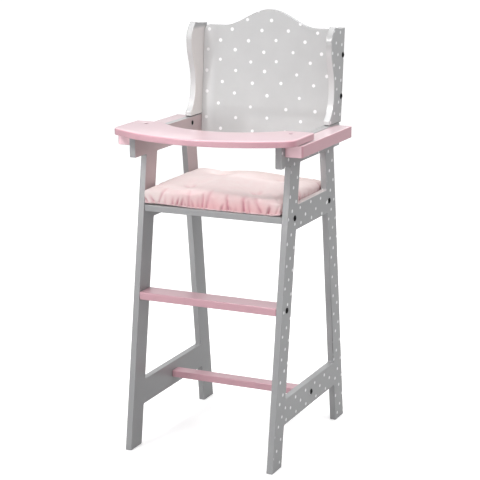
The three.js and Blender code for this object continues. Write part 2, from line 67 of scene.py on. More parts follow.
# Floor and studio light
# A wide, pale, matt floor under a white surround that is brightest overhead and in front. Soft lights hang above and
# stand at both sides, and a long panel behind gives the pink tops their shine. Three narrow ones with grids lift the
# tray's front and the cushion.
def add_node(tree, kind, inputs=None, **settings):
    node = tree.nodes.new(kind)
    for name, value in settings.items():
        setattr(node, name, value)
    for name, value in (inputs or {}).items():
        if isinstance(value, bpy.types.NodeSocket):
            tree.links.new(value, node.inputs[name])
        else:
            node.inputs[name].default_value = value
    return node


def calc(tree, operation, first, second=0.0, clamp=False):
    node = add_node(tree, "ShaderNodeMath", {0: first, 1: second}, operation=operation, use_clamp=clamp)
    return node.outputs[0]


def times(tree, first, second):
    return calc(tree, "MULTIPLY", first, second)


def ramp(tree, value, start, end, low=0.0, high=1.0, smooth=False):
    """Goes from low to high while the value goes from start to end, and stays level before and after."""
    node = add_node(tree, "ShaderNodeMapRange", {
        "Value": value, "From Min": start, "From Max": end, "To Min": low, "To Max": high},
        interpolation_type="SMOOTHSTEP" if smooth else "LINEAR")
    return node.outputs[0]


def blend(tree, amount, first, second):
    """The first colour where the amount is 0, and the second where it is 1."""
    node = add_node(tree, "ShaderNodeMix", {0: amount, 6: first, 7: second}, data_type="RGBA")
    return node.outputs[2]


def split(tree, vector):
    """The parts of a vector, by the names X, Y and Z."""
    return add_node(tree, "ShaderNodeSeparateXYZ", {0: vector}).outputs


def new_material(name):
    material = bpy.data.materials.new(name)
    material.use_nodes = True
    tree = material.node_tree
    return material, tree, tree.nodes["Principled BSDF"]


white = (1, 1, 1, 1)
floor_radius = 40
floor_shown = (0.96, 0.96, 0.96, 1)
floor_bounce = (0.55, 0.55, 0.55, 1)
floor_glow = 0.30
bpy.ops.mesh.primitive_circle_add(vertices=96, radius=floor_radius, fill_type="NGON")
floor = bpy.context.object
floor.name = "floor"
floor_material, floor_tree, floor_shader = new_material("pale_floor")
floor_ray = add_node(floor_tree, "ShaderNodeLightPath").outputs["Is Camera Ray"]
floor_tree.links.new(blend(floor_tree, floor_ray, floor_bounce, floor_shown), floor_shader.inputs["Base Color"])
floor_tree.links.new(times(floor_tree, floor_ray, floor_glow), floor_shader.inputs["Emission Strength"])
floor_shader.inputs["Emission Color"].default_value = white
floor_shader.inputs["Roughness"].default_value = 0.9
floor_shader.inputs["Specular IOR Level"].default_value = 0.1
floor.data.materials.append(floor_material)

surround_around = 0.40
surround_behind = 0.30
surround_above = 0.70
surround_front = 0.65
surround_right = -0.10
surround_left = -0.28
surround_shown = 1.0
world = bpy.data.worlds.new("white_surround")
bpy.context.scene.world = world
world.use_nodes = True
sky = world.node_tree
direction = split(sky, add_node(sky, "ShaderNodeTexCoord").outputs["Generated"])


def share(axis, start, end):
    """From 0 to 1 as the surround's direction along an axis goes from start to end."""
    return ramp(sky, direction[axis], start, end, smooth=True)


shares = (
    (times(sky, share("Y", 0.0, 0.6), share("Z", 0.0, 0.3)), surround_behind),
    (share("Z", 0.6, 0.95), surround_above),
    (share("Y", -0.2, -0.8), surround_front),
    (share("X", 0.1, 0.8), surround_right),
    (share("X", -0.1, -0.8), surround_left))
light_from = surround_around
for part, brightness in shares:
    light_from = calc(sky, "ADD", light_from, times(sky, part, brightness))
seen = add_node(sky, "ShaderNodeLightPath").outputs["Is Camera Ray"]
strength = add_node(sky, "ShaderNodeMix", {0: seen, 2: light_from, 3: surround_shown}, data_type="FLOAT")
sky.links.new(strength.outputs[0], sky.nodes["Background"].inputs["Strength"])
sky.nodes["Background"].inputs["Color"].default_value = white


def soft_light(name, place, target, size, power, height=None, spread=180):
    """A round soft light, or an oblong one where a height is given; a grid before it narrows its spread."""
    data = bpy.data.lights.new(name, "AREA")
    data.shape = "RECTANGLE" if height else "DISK"
    data.size = size
    data.size_y = height or size
    data.energy = power
    data.spread = math.radians(spread)
    light = bpy.data.objects.new(name, data)
    bpy.context.collection.objects.link(light)
    light.location = place
    light.rotation_euler = (Vector(target) - Vector(place)).to_track_quat("-Z", "Y").to_euler()
    light.visible_camera = False


soft_light("top_light", (0.05, -0.05, 1.7), (0, 0, 0.3), size=1.0, power=7.5)
soft_light("left_light", (-0.98, -1.55, 0.66), (-0.05, 0.1, 0.56), size=0.5, power=1.6)
soft_light("near_right_light", (0.80, 0.10, 0.95), (0.1, 0.1, 0.55), size=0.4, power=1.6)
soft_light("back_panel", (-0.7, 1.7, 1.5), (-0.7, 0, 1.4), size=3.4, power=12.5, height=1.3)
soft_light("front_light", (-0.50, -1.12, 1.48), (0, -0.1, 0.50), size=0.34, power=0.62, height=0.14, spread=40)
soft_light("low_left_light", (-0.55, -1.75, 0.45), (0, -0.1, 0.455), size=0.6, power=0.016, height=0.08, spread=8)
soft_light("low_right_light", (0.5, -1.80, 0.45), (0, -0.1, 0.455), size=0.6, power=0.006, height=0.08, spread=8)
bpy.context.scene.view_settings.view_transform = "Standard"


# Side frames
# Each is one board of fibreboard, cut out with its two windows, its edges eased by hand. They are sprayed with satin
# grey lacquer, and white dots are printed on the outer faces only.
grey_lacquer = (0.345, 0.347, 0.354, 1)
grey_cut_edge = (0.40, 0.405, 0.403, 1)
# Painted light: the inner faces are tinted pink from the cushion up to the tray, as light bounced off them would tint
# them
painted_pink_bounce = (0.47, 0.365, 0.370, 1)
# Painted highlight: the front edges of the rear legs are made paler halfway up, as if more light fell there
rear_leg_front_highlight = (0.45, 0.455, 0.462, 1)
# Painted highlight: the up-facing tops of the seat rails are paler and pinker, as if lit from above and by the cushion
rail_top_highlight = (0.56, 0.50, 0.49, 1)
dot_white = (0.86, 0.86, 0.87, 1)
bounce_from = 0.365
bounce_full = 0.415
highlight_rise = (0.14, 0.27)
highlight_end = (0.36, 0.40)
rear_legs_from = 0.05
seat_rail_top = 0.392
seat_rail_reach = 0.014
inner_face = 0.1135
outer_face = 0.12297
facing_forward = -0.7
facing_up = 0.8
film_edge = 0.0012
dot_rim = 0.00025
dot_relief = 0.35
board_ease = 0.0009
weld_reach = 0.00001
flat_within = math.radians(0.5)
sharp_edge = math.radians(40)


def new_group(name, inputs, outputs):
    group = bpy.data.node_groups.new(name, "ShaderNodeTree")
    kinds = {"colour": "NodeSocketColor", "value": "NodeSocketFloat"}
    for direction_word, sockets in (("INPUT", inputs), ("OUTPUT", outputs)):
        for socket_name, kind in sockets.items():
            group.interface.new_socket(name=socket_name, in_out=direction_word, socket_type=kinds[kind])
    return group, group.nodes.new("NodeGroupInput").outputs, group.nodes.new("NodeGroupOutput").inputs


def use_group(tree, group, inputs):
    return add_node(tree, "ShaderNodeGroup", inputs, node_tree=group).outputs


def object_place(tree):
    return add_node(tree, "ShaderNodeTexCoord").outputs["Object"]


def face_turn(tree):
    """Which way a face is turned, by the names X, Y and Z."""
    return split(tree, add_node(tree, "ShaderNodeTexCoord").outputs["Normal"])


def below(tree, value, limit):
    return calc(tree, "LESS_THAN", value, limit)


def above(tree, value, limit):
    return calc(tree, "GREATER_THAN", value, limit)


def speckle(tree, place, scale, detail, roughness):
    """Even noise from 0 to 1."""
    return add_node(tree, "ShaderNodeTexNoise", {
        "Vector": place, "Scale": scale, "Detail": detail, "Roughness": roughness}).outputs["Fac"]


def on_edges(tree, radius, start, end):
    """From 0 on a flat face to 1 on its edges."""
    eased = add_node(tree, "ShaderNodeBevel", {"Radius": radius}, samples=4)
    facing = add_node(tree, "ShaderNodeVectorMath", {
        0: eased.outputs[0], 1: add_node(tree, "ShaderNodeNewGeometry").outputs["Normal"]}, operation="DOT_PRODUCT")
    return ramp(tree, facing.outputs["Value"], start, end)


def raised(tree, height, distance, strength):
    return add_node(tree, "ShaderNodeBump", {
        "Height": height, "Distance": distance, "Strength": strength}).outputs[0]


def make_lacquer_group():
    """Sprayed lacquer: a faint cloudiness, the fine peel of the spray and a softer, paler film on eased edges."""
    group, given, result = new_group(
        "sprayed_lacquer",
        {"Colour": "colour", "Edge Colour": "colour", "Roughness": "value", "Peel": "value", "Edge Radius": "value"},
        {"Colour": "colour", "Roughness": "value", "Height": "value"})
    place = object_place(group)
    clouds = speckle(group, place, scale=22, detail=4, roughness=0.6)
    peel = speckle(group, place, scale=520, detail=2, roughness=0.45)
    fibres = speckle(group, place, scale=1900, detail=3, roughness=0.7)
    edge = on_edges(group, given["Edge Radius"], 0.995, 0.9)
    rubbed = calc(group, "MULTIPLY", edge, calc(group, "ADD", 0.35, clouds), clamp=True)
    tinted = add_node(group, "ShaderNodeVectorMath", {
        0: given["Colour"], "Scale": ramp(group, clouds, 0.3, 0.7, 0.965, 1.035)}, operation="SCALE")
    group.links.new(blend(group, rubbed, tinted.outputs[0], given["Edge Colour"]), result["Colour"])
    rougher = calc(group, "ADD", given["Roughness"], ramp(group, clouds, 0.3, 0.7, -0.05, 0.06))
    group.links.new(calc(group, "ADD", rougher, times(group, rubbed, 0.08)), result["Roughness"])
    relief = calc(group, "ADD", times(group, peel, given["Peel"]),
                  times(group, fibres, times(group, given["Peel"], 0.25)))
    group.links.new(relief, result["Height"])
    return group


def make_dot_group():
    """Printed dots in rows: each row is shifted against the one above, and each dot strays a little from its place."""
    group, given, result = new_group(
        "printed_dots",
        {name: "value" for name in (
            "Across", "Down", "Row Pitch", "Row Growth", "Pitch", "Pitch Growth", "Row Shift", "Stagger",
            "Stray Across", "Stray Down", "Radius", "Seed")},
        {"Mask": "value", "Middle Across": "value", "Middle Down": "value"})
    # The row comes from down = pitch * row + growth * row * row
    under = times(group, times(group, given["Row Growth"], 4), given["Down"])
    square = calc(group, "ADD", times(group, given["Row Pitch"], given["Row Pitch"]), under)
    root = calc(group, "SQRT", calc(group, "MAXIMUM", square, 0))
    row = calc(group, "ROUND", calc(
        group, "DIVIDE", calc(group, "SUBTRACT", root, given["Row Pitch"]), times(group, given["Row Growth"], 2)))
    pitch = calc(group, "ADD", given["Pitch"], times(group, given["Pitch Growth"], row))
    stagger = times(group, calc(group, "PINGPONG", row, 1), given["Stagger"])
    shift = times(group, given["Row Shift"], row)
    along = calc(group, "SUBTRACT", given["Across"], shift)
    column = calc(group, "ROUND", calc(group, "SUBTRACT", calc(group, "DIVIDE", along, pitch), stagger))
    key = add_node(group, "ShaderNodeCombineXYZ", {0: row, 1: column, 2: given["Seed"]})
    chance = add_node(group, "ShaderNodeTexWhiteNoise", {"Vector": key.outputs[0]}, noise_dimensions="3D")
    chances = add_node(group, "ShaderNodeSeparateColor", {0: chance.outputs["Color"]}).outputs
    stray_across = times(group, calc(group, "SUBTRACT", chances[0], 0.5), given["Stray Across"])
    stray_down = times(group, calc(group, "SUBTRACT", 0.5, chances[1]), given["Stray Down"])
    middle_across = calc(group, "ADD", times(group, calc(group, "ADD", column, stagger), pitch), stray_across)
    middle_down = calc(group, "ADD", times(group, row, calc(
        group, "ADD", given["Row Pitch"], times(group, given["Row Growth"], row))), stray_down)
    off_across = calc(group, "SUBTRACT", along, middle_across)
    off_down = calc(group, "SUBTRACT", given["Down"], middle_down)
    away = calc(group, "SQRT", calc(
        group, "ADD", times(group, off_across, off_across), times(group, off_down, off_down)))
    size = times(group, given["Radius"], calc(group, "ADD", 0.92, times(group, chances[2], 0.16)))
    ink = ramp(group, calc(group, "SUBTRACT", away, size), dot_rim, -dot_rim, smooth=True)
    group.links.new(ink, result["Mask"])
    group.links.new(calc(group, "ADD", middle_across, shift), result["Middle Across"])
    group.links.new(middle_down, result["Middle Down"])
    return group


lacquer = make_lacquer_group()
printed_dots = make_dot_group()


def lacquer_material(name, colour, edge_colour, roughness, peel, coat, coat_roughness=0.2, haze=0.0, dots=None):
    """A lacquered board; dots, if given, builds the mask of what is printed on it."""
    material, tree, shader = new_material(name)
    film = use_group(tree, lacquer, {
        "Colour": colour(tree) if callable(colour) else colour, "Edge Colour": edge_colour,
        "Roughness": roughness, "Peel": peel, "Edge Radius": film_edge})
    base, height = film["Colour"], film["Height"]
    if dots:
        printed = dots(tree)
        base = blend(tree, printed, base, dot_white)
        height = calc(tree, "ADD", height, times(tree, printed, dot_relief))
    tree.links.new(base, shader.inputs["Base Color"])
    tree.links.new(film["Roughness"], shader.inputs["Roughness"])
    tree.links.new(raised(tree, height, distance=0.0001, strength=0.6), shader.inputs["Normal"])
    shader.inputs["Coat Weight"].default_value = coat
    shader.inputs["Coat Roughness"].default_value = coat_roughness
    shader.inputs["Coat IOR"].default_value = 1.6
    shader.inputs["Sheen Weight"].default_value = haze
    shader.inputs["Sheen Roughness"].default_value = 0.4
    return material


frame_middle = 0.01125
leg_width = 0.036
front_leg_foot, front_leg_lean = 0.1435, 0.1511
rear_leg_foot, rear_leg_lean = 0.1445, 0.1189
between_rails = 0.225
wing_foot = 0.4855
side_dot_radius = 0.0025
side_dot_stray = 0.0030
no_growth = 0.000001
# Each patch of dots: slope of its rows, start along and down, pitch in a row and of the rows, shift of a row, and seed
front_leg_dots = (math.radians(38.1), -0.00847, 0.01594, 0.01748, 0.02404, -0.00675, 3)
rear_leg_dots = (math.radians(51.6), -0.00429, 0.03685, 0.01810, 0.02388, -0.00324, 5)
seat_rail_dots = (math.radians(-0.6), 0.01393, 0.03156, 0.04117, 0.01217, -0.01880, 7)
low_rail_dots = (0, -0.0024, -0.0002, 0.0390, 0.0115, -0.0175, 9)
wing_dots = (math.radians(-14.0), -0.02122, 0.00822, 0.02379, 0.01734, 0.01143, 8)


def side_dots(tree):
    """Dots on the outer faces of the side boards: slanting rows on the legs, level rows on the rails."""
    place = split(tree, object_place(tree))
    along, height = calc(tree, "SUBTRACT", place["Y"], frame_middle), place["Z"]

    def patch(slope, start, top, pitch, row_pitch, row_shift, seed):
        """The mask of one patch of dots, and the place along and up of the dot nearest to each point."""
        along_row, up_row = math.cos(slope), math.sin(slope)
        across = calc(tree, "ADD", times(tree, along, along_row), times(tree, height, up_row))
        down = calc(tree, "SUBTRACT", times(tree, along, up_row), times(tree, height, along_row))
        dots = use_group(tree, printed_dots, {
            "Across": calc(tree, "SUBTRACT", across, start), "Down": calc(tree, "SUBTRACT", down, top),
            "Row Pitch": row_pitch, "Row Growth": no_growth, "Pitch": pitch, "Pitch Growth": 0,
            "Row Shift": row_shift, "Stagger": 0, "Stray Across": side_dot_stray, "Stray Down": side_dot_stray,
            "Radius": side_dot_radius, "Seed": seed})
        dot_across = calc(tree, "ADD", dots["Middle Across"], start)
        dot_down = calc(tree, "ADD", dots["Middle Down"], top)
        dot_along = calc(tree, "ADD", times(tree, dot_across, along_row), times(tree, dot_down, up_row))
        dot_height = calc(tree, "SUBTRACT", times(tree, dot_across, up_row), times(tree, dot_down, along_row))
        return dots["Mask"], dot_along, dot_height

    def behind_front(y, z):
        """How far a place lies behind the front edge of the front legs."""
        return calc(tree, "SUBTRACT", calc(tree, "ADD", y, front_leg_foot), times(tree, z, front_leg_lean))

    def ahead_of_rear(y, z):
        """How far a place lies ahead of the rear edge of the rear legs."""
        return calc(tree, "SUBTRACT", calc(tree, "SUBTRACT", rear_leg_foot, times(tree, z, rear_leg_lean)), y)

    def between_legs(y, z):
        return times(tree, above(tree, behind_front(y, z), leg_width), above(tree, ahead_of_rear(y, z), leg_width))

    printed = 0
    for spec, where in (
            (front_leg_dots, lambda y, z: times(
                tree, below(tree, z, wing_foot), below(tree, behind_front(y, z), leg_width))),
            (rear_leg_dots, lambda y, z: times(
                tree, below(tree, z, wing_foot), below(tree, ahead_of_rear(y, z), leg_width))),
            (seat_rail_dots, lambda y, z: times(
                tree, times(tree, below(tree, z, wing_foot), above(tree, z, between_rails)), between_legs(y, z))),
            (low_rail_dots, lambda y, z: times(tree, below(tree, z, between_rails), between_legs(y, z))),
            (wing_dots, lambda y, z: above(tree, z, wing_foot))):
        mask, dot_along, dot_height = patch(*spec)
        printed = calc(tree, "MAXIMUM", printed, times(tree, mask, where(dot_along, dot_height)))
    return times(tree, printed, above(tree, calc(tree, "ABSOLUTE", place["X"]), outer_face))


def dress(name, material):
    board = nodes[name]
    board.data.materials.clear()
    board.data.materials.append(material)


def paint_board(name, material, radius):
    """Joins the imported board's faces, eases its sharp edges, as sanding before painting does, and paints it."""
    dress(name, material)
    board = nodes[name]
    board.modifiers.new("weld", "WELD").merge_threshold = weld_reach
    whole = board.modifiers.new("whole_faces", "DECIMATE")
    whole.decimate_type = "DISSOLVE"
    whole.angle_limit = flat_within
    ease = board.modifiers.new("eased_edges", "BEVEL")
    ease.width = radius
    ease.segments = 3
    ease.limit_method = "ANGLE"
    ease.angle_limit = sharp_edge
    ease.use_clamp_overlap = False
    board.modifiers.new("even_normals", "WEIGHTED_NORMAL").keep_sharp = False


def inside_chair(tree, place):
    return below(tree, calc(tree, "ABSOLUTE", place["X"]), inner_face)


def frame_colours(tree):
    """Grey with paler cut edges, plus painted light: pink bounce on the inner faces from the cushion up to the tray,
    and painted highlights on the rear legs' front edges and on the seat rails' tops.
    """
    place, facing = split(tree, object_place(tree)), face_turn(tree)
    # Painted pink bounce light on the inner faces between the cushion and the tray
    bounce_share = ramp(tree, place["Z"], bounce_from, bounce_full, smooth=True)
    colour = blend(tree, times(tree, inside_chair(tree, place), bounce_share), grey_lacquer, painted_pink_bounce)
    # Painted highlight on the front edges of the rear legs, halfway up
    rear_leg_fronts = times(tree, below(tree, facing["Y"], facing_forward), above(tree, place["Y"], rear_legs_from))
    highlight_band = times(tree, ramp(tree, place["Z"], *highlight_rise), ramp(tree, place["Z"], *highlight_end, 1, 0))
    colour = blend(tree, times(tree, rear_leg_fronts, highlight_band), colour, rear_leg_front_highlight)
    # Painted highlight on the up-facing tops of the seat rails
    from_rail = calc(tree, "ABSOLUTE", calc(tree, "SUBTRACT", place["Z"], seat_rail_top))
    lit_rail_top = times(tree, below(tree, from_rail, seat_rail_reach), above(tree, facing["Z"], facing_up))
    return blend(tree, lit_rail_top, colour, rail_top_highlight)


grey_paint = lacquer_material(
    "grey_paint", frame_colours, grey_cut_edge, roughness=0.40, peel=0.5, coat=0.5, dots=side_dots)
for word in sides:
    paint_board(f"side_frame_{word}", grey_paint, board_ease)


# Seat board, footrest and lower rung
# Flat boards between the side frames, held by bolts from outside. The seat board is grey like the frames. The footrest
# and the rung are pink, with edges rounded a little more.
pink_lacquer = (0.63, 0.355, 0.410, 1)
pink_cut_edge = (0.68, 0.43, 0.48, 1)
bar_ease = 0.0014
plain_grey_paint = lacquer_material(
    "plain_grey_paint", grey_lacquer, grey_cut_edge, roughness=0.42, peel=0.6, coat=0.4)
bar_paint = lacquer_material(
    "bar_pink_paint", pink_lacquer, pink_cut_edge, roughness=0.40, peel=0.4, coat=0.7, coat_roughness=0.15, haze=0.1)
paint_board("seat_board", plain_grey_paint, board_ease)
for name in ("footrest", "lower_rung"):
    paint_board(name, bar_paint, bar_ease)


# Back
# A pale grey board that leans back between the wings, with a bell-shaped crest. Its front is printed with wide rows
# of white dots, and the rows spread a little towards the foot.
pale_lacquer = (0.485, 0.490, 0.491, 1)
pale_cut_edge = (0.46, 0.46, 0.46, 1)
back_top_lacquer = (0.34, 0.344, 0.345, 1)
# Painted highlight: the back is whitened beside the left wing, where the wing's shadow falls
back_left_highlight = (0.63, 0.637, 0.638, 1)
highlight_from, highlight_full = -0.088, -0.108
back_slope = math.radians(5.43)
back_foot_y, back_foot_z = 0.12225, 0.485
print_left = 0.0847
print_top = 0.1508
print_reach = 0.0001


def back_dots(tree):
    """Dots on the front face alone, in rows that are counted down the slope of the board."""
    place = split(tree, object_place(tree))
    along = calc(tree, "SUBTRACT", place["Y"], back_foot_y)
    up = calc(tree, "SUBTRACT", place["Z"], back_foot_z)
    leaning, upright = math.sin(back_slope), math.cos(back_slope)
    rise = calc(tree, "ADD", times(tree, along, leaning), times(tree, up, upright))
    depth = calc(tree, "SUBTRACT", times(tree, along, upright), times(tree, up, leaning))
    printed = use_group(tree, printed_dots, {
        "Across": calc(tree, "ADD", place["X"], print_left), "Down": calc(tree, "SUBTRACT", print_top, rise),
        "Row Pitch": 0.01467, "Row Growth": 0.00026, "Pitch": 0.0453, "Pitch Growth": 0.00123,
        "Row Shift": 0.00058, "Stagger": 0.5, "Stray Across": 0.0080, "Stray Down": 0.0045, "Radius": 0.0027,
        "Seed": 31229.5})
    return times(tree, printed["Mask"], below(tree, depth, print_reach))


def back_colours(tree):
    """Pale grey, with a painted highlight beside the left wing where the wing's shadow falls, and a thinner film on
    the crest's cut edge.
    """
    place, facing = split(tree, object_place(tree)), face_turn(tree)
    left_highlight_share = ramp(tree, place["X"], highlight_from, highlight_full, smooth=True)
    colour = blend(tree, left_highlight_share, pale_lacquer, back_left_highlight)
    return blend(tree, ramp(tree, facing["Z"], 0.2, 0.7), colour, back_top_lacquer)


pale_paint = lacquer_material(
    "pale_grey_paint", back_colours, pale_cut_edge, roughness=0.38, peel=0.4, coat=0.3, dots=back_dots)
paint_board("backrest", pale_paint, board_ease)


# Wings
# Two shaped boards that stand on the side frames and are bolted to the edges of the back. Their outer faces are grey
# with dots and their inner faces and front edges pale, all with painted light and shade; a painted shade line runs at
# the joint.
# Painted light: the wings' outer grey is the frames' paint, made paler for the stronger light up at the wings
wing_outer_lit_grey = (0.415, 0.417, 0.422, 1)
# Painted light and shade: the inner faces are paler than the back's paint, as if lit, and darker towards the top
wing_inner_pale_lit = (0.75, 0.72, 0.70, 1)
wing_inner_top_shade = (0.63, 0.60, 0.59, 1)
inner_shade_fade = (0.540, 0.620)
wing_grey_fade = (0.6215, 0.6265)
# Painted light and shade: the front edges are paler than the back's paint, and darker at the top, more so on the right
# wing
wing_front_pale_lit = (0.61, 0.61, 0.61, 1)
wing_front_top_shade = {"left": (0.53, 0.53, 0.53, 1), "right": (0.39, 0.39, 0.39, 1)}
front_shade_fade = (0.595, 0.615)
# Painted shade: a dark line along the foot of each wing stands for the shadow in its joint with the rail
wing_joint_shade = (0.10, 0.085, 0.085, 1)
joint_shade_height = 0.4868


def wing_colours(tree):
    """Pale on the inner face and front edge, which are sprayed with the back, and grey elsewhere, with painted light
    and shade: the pale faces paler than the back and darker towards the top, the outer grey paler than the frames',
    and a shaded line at the foot.
    """
    place, facing = split(tree, object_place(tree)), face_turn(tree)
    height = place["Z"]
    # Painted shade at the top of the front edges, deeper on the right wing than on the left
    shaded_front_top = blend(tree, above(tree, place["X"], 0), wing_front_top_shade["left"], wing_front_top_shade["right"])
    front = blend(tree, ramp(tree, height, *front_shade_fade), wing_front_pale_lit, shaded_front_top)
    outer = blend(tree, ramp(tree, facing["Y"], -0.45, -0.85), wing_outer_lit_grey, front)
    # Painted shade: the inner face darkens towards its top
    inner = blend(tree, ramp(tree, height, *inner_shade_fade), wing_inner_pale_lit, wing_inner_top_shade)
    inner = blend(tree, ramp(tree, height, *wing_grey_fade), inner, grey_lacquer)
    colour = blend(tree, inside_chair(tree, place), outer, inner)
    # Painted shade line at the foot of the wing
    return blend(tree, below(tree, height, joint_shade_height), colour, wing_joint_shade)


wing_paint = lacquer_material(
    "wing_paint", wing_colours, pale_cut_edge, roughness=0.40, peel=0.5, coat=0.4, dots=side_dots)
for word in sides:
    paint_board(f"wing_{word}", wing_paint, board_ease)


# Armrests
# Thick pink boards, screwed to the outside of the top rails from within, with a round front outer corner. Their tops
# and front ends are painted paler, as painted light.
arm_ease = 0.0013
# Painted light and shade: up-facing pink is paler, side-facing pink deeper
pink_top_highlight = (0.655, 0.395, 0.450, 1)
pink_side_shade = (0.575, 0.275, 0.330, 1)
# Painted highlights: the armrests' tops and front ends are paler, as if more light fell on them
arm_top_highlight = (0.73, 0.505, 0.55, 1)
arm_front_highlight = (0.93, 0.63, 0.69, 1)
glossy = {"roughness": 0.34, "peel": 0.4, "coat": 1.0, "coat_roughness": 0.07, "haze": 0.32}


def pink_colours(tree):
    """Pink, deeper on the faces that are turned to the sides as painted shade, and paler on top as painted light."""
    facing = face_turn(tree)
    colour = blend(tree, ramp(tree, calc(tree, "ABSOLUTE", facing["X"]), 0.3, 0.9), pink_lacquer, pink_side_shade)
    return blend(tree, ramp(tree, facing["Z"], 0.6, 0.9), colour, pink_top_highlight)


def arm_colours(tree):
    """The armrests' pink, made paler on top and on the front ends as painted light."""
    facing = face_turn(tree)
    colour = blend(tree, above(tree, facing["Z"], facing_up), pink_colours(tree), arm_top_highlight)
    return blend(tree, ramp(tree, facing["Y"], -0.75, -0.95), colour, arm_front_highlight)


arm_paint = lacquer_material("armrest_pink_paint", arm_colours, pink_cut_edge, **glossy)
for word in sides:
    paint_board(f"armrest_{word}", arm_paint, arm_ease)


# Tray
# A pink board with a bowed front and a round cut-out, its upper and lower edges rounded over all the way round. It
# lies across both rails under two countersunk screws, whose holes stay crisp.
tray_ease = 0.0024
tray_foot_ease = 0.0009
tray_hole_reach = 0.008


def make_tray():
    """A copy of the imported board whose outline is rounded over, but not the rims of its screw holes."""
    mesh = bmesh.new()
    mesh.from_mesh(nodes["tray"].data)
    bmesh.ops.remove_doubles(mesh, verts=mesh.verts, dist=weld_reach)
    holes = [sum(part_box(f"tray_screw_{word}"), Vector()) / 2 for word in sides]
    middle = sum(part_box("tray"), Vector()) / 2

    def round_over(upper, width, steps):
        """Rounds the whole upper rim over, or the lower one with the upright edges of the rear corners."""
        found = []
        for edge in mesh.edges:
            places = [point.co for point in edge.verts]
            if edge.calc_face_angle(0) < sharp_edge or any(
                    (place.xy - hole.xy).length < tray_hole_reach for place in places for hole in holes):
                continue
            if upper == (min(place.z for place in places) > middle.z):
                found.append(edge)
        bmesh.ops.bevel(mesh, geom=found, offset=width, segments=steps, profile=0.5, affect="EDGES",
                        clamp_overlap=False)

    round_over(upper=True, width=tray_ease, steps=4)
    round_over(upper=False, width=tray_foot_ease, steps=2)
    data = bpy.data.meshes.new("tray_board")
    mesh.to_mesh(data)
    mesh.free()
    data.polygons.foreach_set("use_smooth", [True] * len(data.polygons))
    return data


pink_paint = lacquer_material("pink_paint", pink_colours, pink_cut_edge, **glossy)
tray_board = bpy.data.objects.new("tray_board", make_tray())
bpy.context.collection.objects.link(tray_board)
tray_board.data.materials.append(pink_paint)
tray_board.modifiers.new("even_normals", "WEIGHTED_NORMAL").keep_sharp = False
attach(tray_board, "chair")
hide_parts("tray")


# Bolts and barrel nuts
# Steel furniture bolts in black oxide, with hexagon sockets, go through the sides into bright zinc-plated barrel nuts.
rim_reach = 0.0004


def make_metal_group():
    """Plated or blackened steel: fine scuffs, with a bare rim where tools have touched it."""
    group, given, result = new_group(
        "handled_metal", {"Colour": "colour", "Rubbed Colour": "colour", "Roughness": "value"},
        {"Colour": "colour", "Roughness": "value", "Height": "value"})
    scuffs = speckle(group, object_place(group), scale=900, detail=5, roughness=0.7)
    rubbed = calc(group, "MULTIPLY", on_edges(group, rim_reach, 0.98, 0.8), scuffs, clamp=True)
    rougher = calc(group, "ADD", given["Roughness"], ramp(group, scuffs, 0.3, 0.7, -0.08, 0.1))
    group.links.new(blend(group, rubbed, given["Colour"], given["Rubbed Colour"]), result["Colour"])
    group.links.new(rougher, result["Roughness"])
    group.links.new(scuffs, result["Height"])
    return group


handled_metal = make_metal_group()


def metal_material(name, colour, rubbed_colour, roughness):
    material, tree, shader = new_material(name)
    surface = use_group(tree, handled_metal, {
        "Colour": colour, "Rubbed Colour": rubbed_colour, "Roughness": roughness})
    tree.links.new(surface["Colour"], shader.inputs["Base Color"])
    tree.links.new(surface["Roughness"], shader.inputs["Roughness"])
    tree.links.new(raised(tree, surface["Height"], distance=0.00003, strength=0.5), shader.inputs["Normal"])
    shader.inputs["Metallic"].default_value = 1
    return material


black_metal = metal_material("black_metal", (0.018, 0.018, 0.019, 1), (0.09, 0.09, 0.09, 1), 0.42)
zinc_metal = metal_material("zinc_metal", (0.52, 0.53, 0.54, 1), (0.66, 0.66, 0.66, 1), 0.36)
for word in sides:
    for joint in ("seat_front", "seat_rear", "footrest", "rung", "wing_lower", "wing_upper"):
        dress(f"{joint}_bolt_{word}", black_metal)
        dress(f"{joint}_barrel_nut_{word}", zinc_metal)


# Wood screws and dowels
# Black countersunk screws hold the armrests and the tray. Beech dowels, out of sight, keep the wings in line.
beech_dark = (0.50, 0.31, 0.15, 1)
beech_pale = (0.70, 0.50, 0.29, 1)


def make_beech():
    """Bare beech, whose fine grain runs up the dowel."""
    material, tree, shader = new_material("dowel_wood")
    stretched = add_node(tree, "ShaderNodeMapping", {"Vector": object_place(tree), "Scale": (1, 1, 0.08)})
    grain = speckle(tree, stretched.outputs[0], scale=1400, detail=4, roughness=0.6)
    tree.links.new(blend(tree, grain, beech_dark, beech_pale), shader.inputs["Base Color"])
    tree.links.new(raised(tree, grain, distance=0.0001, strength=0.4), shader.inputs["Normal"])
    shader.inputs["Roughness"].default_value = 0.7
    return material


beech = make_beech()
for word in sides:
    for end in ("front", "rear"):
        dress(f"armrest_{end}_screw_{word}", black_metal)
        dress(f"wing_{end}_dowel_{word}", beech)
    dress(f"tray_screw_{word}", black_metal)


